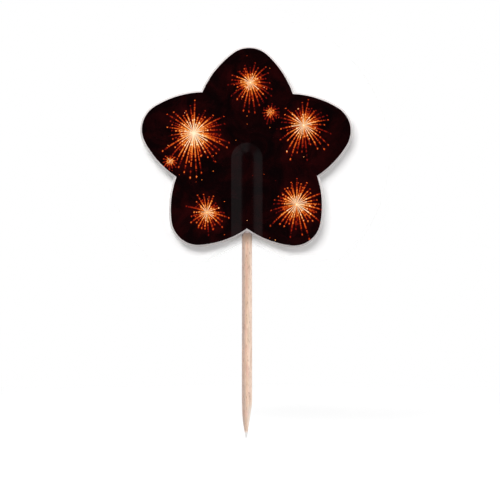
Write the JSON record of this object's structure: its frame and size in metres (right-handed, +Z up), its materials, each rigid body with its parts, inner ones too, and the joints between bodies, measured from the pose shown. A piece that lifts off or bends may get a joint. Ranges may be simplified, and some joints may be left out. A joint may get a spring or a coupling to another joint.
{
  "type": "cupcake pick",
  "caption": "Star-shaped party pick: two bonded paper cards with rounded lobes, ridged over the top of a round pointed wooden pick.",
  "frame": {"origin": "the pick's point, on the pick's axis", "axes": "+Z up along the pick, from its point to the star; the printed face looks along -Y; +X is to the right seen from the printed face"},
  "size_m": [0.0489, 0.003, 0.0899],
  "materials": {
    "birch": "sanded, unvarnished, fine lengthwise grain",
    "printed_card": "gloss-coated print, near-black maroon",
    "plain_card": "uncoated smooth white",
    "glue": "dried clear film"
  },
  "bodies": {
    "root": {"wooden_pick": "birch", "front_card": "printed_card", "front_glue_film": "glue", "back_glue_film": "glue", "back_card": "plain_card"}
  },
  "joints": []
}
